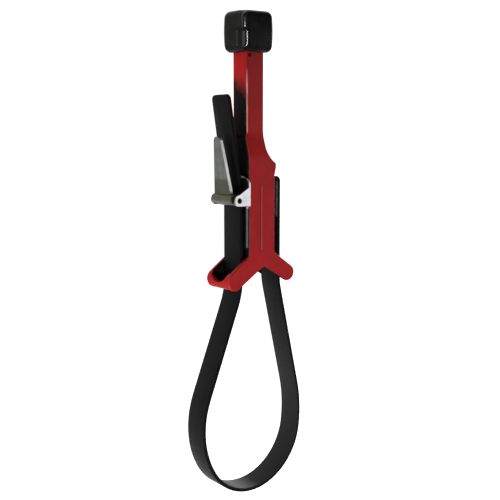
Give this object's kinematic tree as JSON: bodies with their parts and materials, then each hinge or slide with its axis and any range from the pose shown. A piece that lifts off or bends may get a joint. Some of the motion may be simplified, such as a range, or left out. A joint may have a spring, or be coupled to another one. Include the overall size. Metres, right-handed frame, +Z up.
{
  "type": "oil filter strap wrench",
  "caption": "Strap wrench for oil filters: painted cast handle with a slotted V head, a belt loop anchored on one side and a cam lever buckle on the other side that grips the running end.",
  "frame": {"origin": "on the flat back face of the head, under the shank's centre line, half way up the body; this face lies on the bench", "axes": "+Y up the handle towards the cap, +X towards the anchored side of the belt, +Z up from the bench, along the width of the belt"},
  "size_m": [0.1023, 0.3804, 0.03],
  "materials": {
    "handle_paint": "semi-gloss enamel over a casting",
    "cap_rubber": "glossy moulded rubber",
    "belt_rubber": "matt woven-faced rubber",
    "zinc_sheet": "bright zinc plate",
    "lever_steel": "plain pressed steel",
    "rivet_steel": "plain steel",
    "oxide_steel": "black oxide on steel"
  },
  "bodies": {
    "wrench": {"handle": "handle_paint", "end_cap": "cap_rubber", "buckle_bracket": "zinc_sheet", "bracket_rivets": "rivet_steel", "pivot_pin": "oxide_steel", "strap_tail": "belt_rubber", "strap_running_strand": "belt_rubber", "strap_bow": "belt_rubber", "strap_fixed_strand": "belt_rubber", "anchor_plate": "oxide_steel", "anchor_washers": "zinc_sheet", "anchor_rivets": "rivet_steel"},
    "lever": {"cam_lever": "lever_steel"}
  },
  "joints": [
    {"name": "lever_hinge", "type": "hinge", "parent": "wrench", "child": "lever", "pos_m": [-0.0218, 0.0221, 0.014], "axis": [0, 0, 1], "range_deg": [0, 100]}
  ]
}
